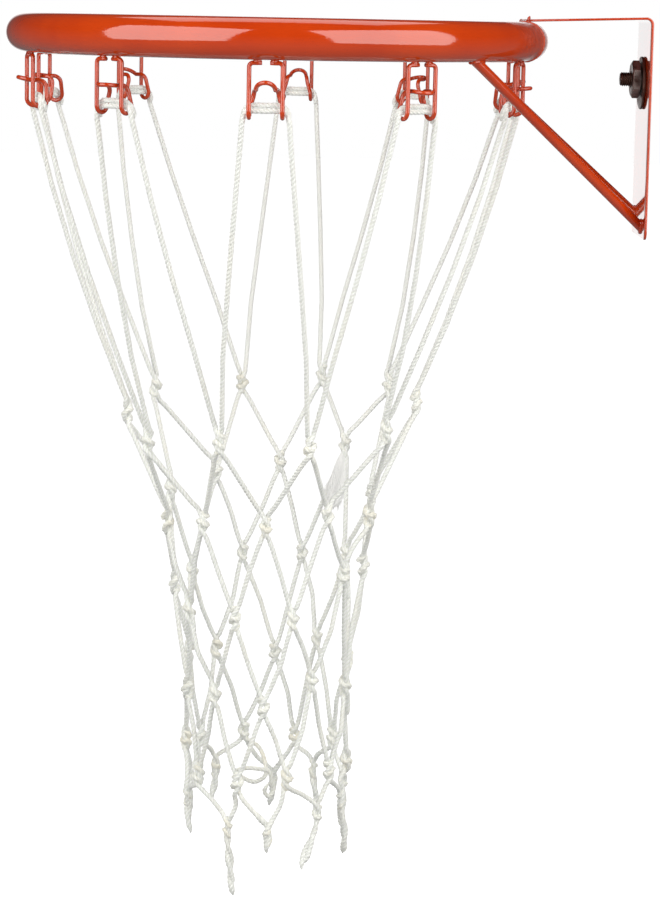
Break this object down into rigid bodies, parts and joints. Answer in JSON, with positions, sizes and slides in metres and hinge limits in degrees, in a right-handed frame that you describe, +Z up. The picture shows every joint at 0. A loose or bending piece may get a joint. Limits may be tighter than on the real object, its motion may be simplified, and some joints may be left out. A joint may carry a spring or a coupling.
{
  "type": "basketball rim with net",
  "caption": "Wall-mounted basketball rim: a round tube ring on a bent plate bracket with rod struts, bent-wire net hooks, a bolt with nut and wide washer, and a knotted cord net.",
  "frame": {"origin": "on the bracket's wall face, in the rim's plane of symmetry, at the height of the ring's centre", "axes": "+X out of the wall face, into the wall; +Z up; +Y to the left of someone who faces the wall"},
  "size_m": [0.533, 0.45, 0.7419],
  "materials": {
    "orange_powder_coat": "gloss powder coat",
    "dark_steel": "dark oxide, slightly worn",
    "white_cord": "twisted off-white cord"
  },
  "bodies": {
    "frame": {"rim_ring": "orange_powder_coat", "mounting_bracket": "orange_powder_coat", "support_strut_left": "orange_powder_coat", "support_strut_right": "orange_powder_coat", "net_hook_01": "orange_powder_coat", "net_hook_02": "orange_powder_coat", "net_hook_03": "orange_powder_coat", "net_hook_04": "orange_powder_coat", "net_hook_05": "orange_powder_coat", "net_hook_06": "orange_powder_coat", "net_hook_07": "orange_powder_coat", "net_hook_08": "orange_powder_coat", "net_hook_09": "orange_powder_coat", "net_hook_10": "orange_powder_coat", "mounting_bolt": "dark_steel", "net_loop_01": "white_cord", "net_loop_02": "white_cord", "net_loop_03": "white_cord", "net_loop_04": "white_cord", "net_loop_05": "white_cord", "net_loop_06": "white_cord", "net_loop_07": "white_cord", "net_loop_08": "white_cord", "net_loop_09": "white_cord", "net_loop_10": "white_cord"},
    "washer": {"flat_washer": "dark_steel"},
    "nut": {"hex_nut": "dark_steel"},
    "net": {"net_strand_01_a": "white_cord", "net_strand_01_b": "white_cord", "net_strand_02_a": "white_cord", "net_strand_02_b": "white_cord", "net_strand_03_a": "white_cord", "net_strand_03_b": "white_cord", "net_strand_04_a": "white_cord", "net_strand_04_b": "white_cord", "net_strand_05_a": "white_cord", "net_strand_05_b": "white_cord", "net_strand_06_a": "white_cord", "net_strand_06_b": "white_cord", "net_strand_07_a": "white_cord", "net_strand_07_b": "white_cord", "net_strand_08_a": "white_cord", "net_strand_08_b": "white_cord", "net_strand_09_a": "white_cord", "net_strand_09_b": "white_cord", "net_strand_10_a": "white_cord", "net_strand_10_b": "white_cord"}
  },
  "joints": [
    {"name": "net_sway", "type": "hinge", "parent": "frame", "child": "net", "pos_m": [-0.308, 0, 0], "axis": [0, 1, 0], "range_deg": [-8, 8]},
    {"name": "washer_slide", "type": "slide", "parent": "frame", "child": "washer", "axis": [-1, 0, 0], "range_m": [0, 0.00876]},
    {"name": "nut_turn", "type": "hinge", "parent": "washer", "child": "nut", "pos_m": [-0.01, 0, -0.03], "axis": [-1, 0, 0], "range_deg": [0, 1800]}
  ],
  "couplings": [
    {"joint": "washer_slide", "follows": "nut_turn", "m_per_rad": 0.0002785}
  ]
}
